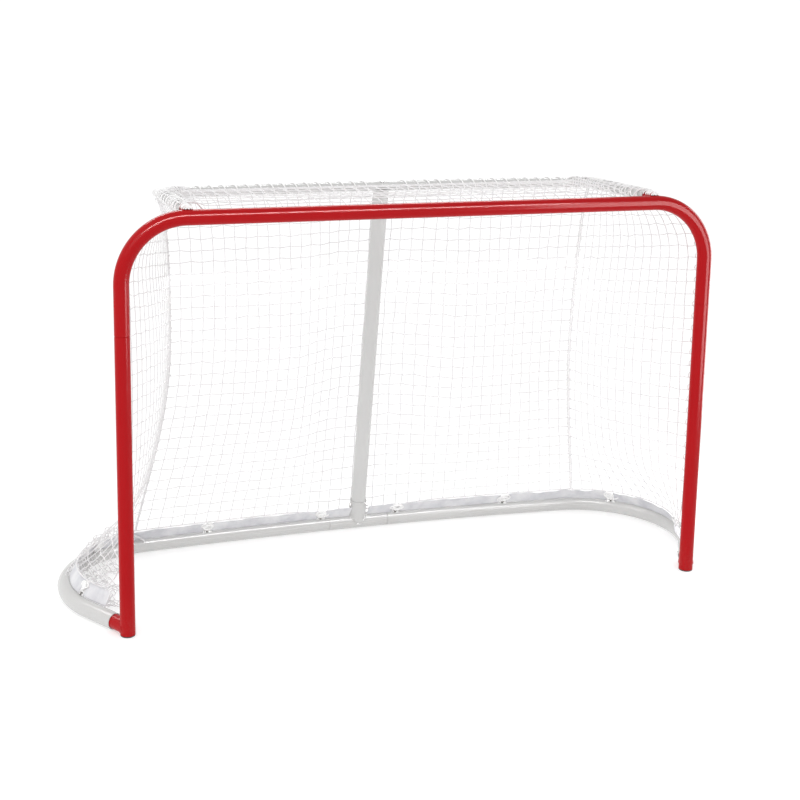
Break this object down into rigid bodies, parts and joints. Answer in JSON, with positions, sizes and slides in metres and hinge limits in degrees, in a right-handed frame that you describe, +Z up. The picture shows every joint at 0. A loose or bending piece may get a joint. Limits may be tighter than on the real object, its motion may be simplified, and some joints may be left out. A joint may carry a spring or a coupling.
{
  "type": "roller hockey goal",
  "caption": "Roller hockey goal: red tube front frame, white tube base, top shelf and leaning rear post, laced white net and grey skirt.",
  "frame": {"origin": "middle of the goal line, on the floor", "axes": "+X along the crossbar to the viewer's right, +Y back from the mouth into the net, +Z up"},
  "size_m": [2.2138, 0.7306, 1.2949],
  "materials": {
    "red_powder_coat": "gloss",
    "white_powder_coat": "satin gloss",
    "white_net_twine": "matt knotted twine",
    "white_lacing_cord": "matt braided cord",
    "grey_coated_cloth": "satin coated cloth",
    "zinc_plated_steel": "dull zinc plate",
    "black_plastic": "matt moulded"
  },
  "bodies": {
    "root": {"back_net": "white_net_twine", "base_centre_tube": "white_powder_coat", "centre_post": "white_powder_coat", "crossbar": "red_powder_coat", "crossbar_lacing_rod": "red_powder_coat", "left_base_rail": "white_powder_coat", "left_base_seam_screw": "zinc_plated_steel", "left_base_spigot": "zinc_plated_steel", "left_corner_tie": "white_lacing_cord", "left_foot_plug": "black_plastic", "left_foot_stub": "red_powder_coat", "left_front_tie": "white_lacing_cord", "left_lacing_rod": "red_powder_coat", "left_net": "white_net_twine", "left_post": "red_powder_coat", "left_post_sleeve": "zinc_plated_steel", "left_rail_screw": "zinc_plated_steel", "left_rear_tie": "white_lacing_cord", "left_seam_screw": "zinc_plated_steel", "left_shelf_lacing": "white_lacing_cord", "left_shelf_screw": "zinc_plated_steel", "left_shelf_stub": "red_powder_coat", "left_side_tie": "white_lacing_cord", "left_skirt_centre": "grey_coated_cloth", "left_skirt_corner": "grey_coated_cloth", "left_skirt_front": "grey_coated_cloth", "left_skirt_rear": "grey_coated_cloth", "left_skirt_side": "grey_coated_cloth", "post_insert": "black_plastic", "post_socket": "white_powder_coat", "right_base_rail": "white_powder_coat", "right_base_seam_screw": "zinc_plated_steel", "right_base_spigot": "zinc_plated_steel", "right_corner_tie": "white_lacing_cord", "right_foot_plug": "black_plastic", "right_foot_stub": "red_powder_coat", "right_front_tie": "white_lacing_cord", "right_lacing_rod": "red_powder_coat", "right_net": "white_net_twine", "right_post": "red_powder_coat", "right_post_sleeve": "zinc_plated_steel", "right_rail_screw": "zinc_plated_steel", "right_rear_tie": "white_lacing_cord", "right_seam_screw": "zinc_plated_steel", "right_shelf_lacing": "white_lacing_cord", "right_shelf_screw": "zinc_plated_steel", "right_shelf_stub": "red_powder_coat", "right_side_tie": "white_lacing_cord", "right_skirt_centre": "grey_coated_cloth", "right_skirt_corner": "grey_coated_cloth", "right_skirt_front": "grey_coated_cloth", "right_skirt_rear": "grey_coated_cloth", "right_skirt_side": "grey_coated_cloth", "shelf_centre_bolt": "zinc_plated_steel", "shelf_tube": "white_powder_coat", "socket_bolt": "zinc_plated_steel", "socket_nut": "zinc_plated_steel", "top_net": "white_net_twine"}
  },
  "joints": []
}
